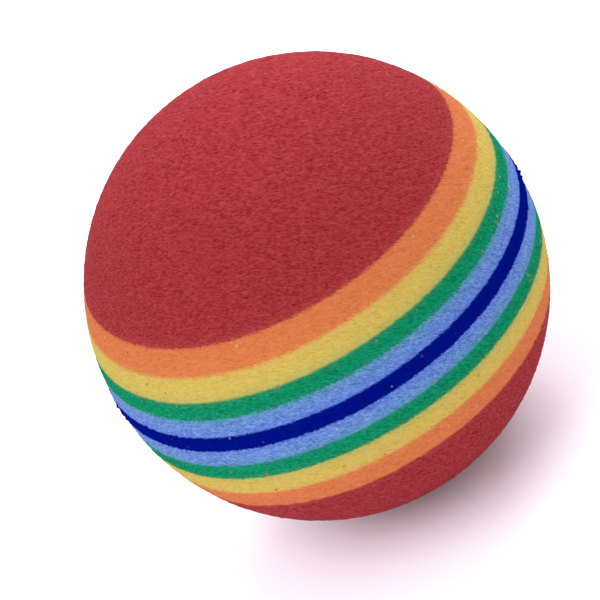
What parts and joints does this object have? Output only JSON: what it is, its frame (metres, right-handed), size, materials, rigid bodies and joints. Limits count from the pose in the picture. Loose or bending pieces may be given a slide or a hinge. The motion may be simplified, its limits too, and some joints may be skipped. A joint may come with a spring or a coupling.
{
  "type": "juggling ball",
  "caption": "Round juggling ball ground from bonded foam sheets in rainbow stripes between two thick red foam ends.",
  "frame": {"origin": "centre of the ball", "axes": "+Z along the stack of foam sheets, through the middle of both red ends"},
  "size_m": [0.062, 0.062, 0.063],
  "materials": {
    "red_foam": "matte ground closed-cell EVA foam with a fine pebbled grain",
    "orange_foam": "matte ground closed-cell EVA foam with a fine pebbled grain",
    "yellow_foam": "matte ground closed-cell EVA foam with a fine pebbled grain",
    "green_foam": "matte ground closed-cell EVA foam with a fine pebbled grain",
    "light_blue_foam": "matte ground closed-cell EVA foam, mottled by darker pores",
    "dark_blue_foam": "matte ground closed-cell EVA foam, nearly even in colour",
    "bond_glue": "thin cured contact adhesive, satin and slightly stippled"
  },
  "bodies": {
    "root": {"red_cap_upper": "red_foam", "orange_layer_upper": "orange_foam", "yellow_layer_upper": "yellow_foam", "green_layer_upper": "green_foam", "light_blue_layer_upper": "light_blue_foam", "dark_blue_layer_centre": "dark_blue_foam", "light_blue_layer_lower": "light_blue_foam", "green_layer_lower": "green_foam", "yellow_layer_lower": "yellow_foam", "orange_layer_lower": "orange_foam", "red_cap_lower": "red_foam", "bond_film_01": "bond_glue", "bond_film_02": "bond_glue", "bond_film_03": "bond_glue", "bond_film_04": "bond_glue", "bond_film_05": "bond_glue", "bond_film_06": "bond_glue", "bond_film_07": "bond_glue", "bond_film_08": "bond_glue", "bond_film_09": "bond_glue", "bond_film_10": "bond_glue"}
  },
  "joints": []
}
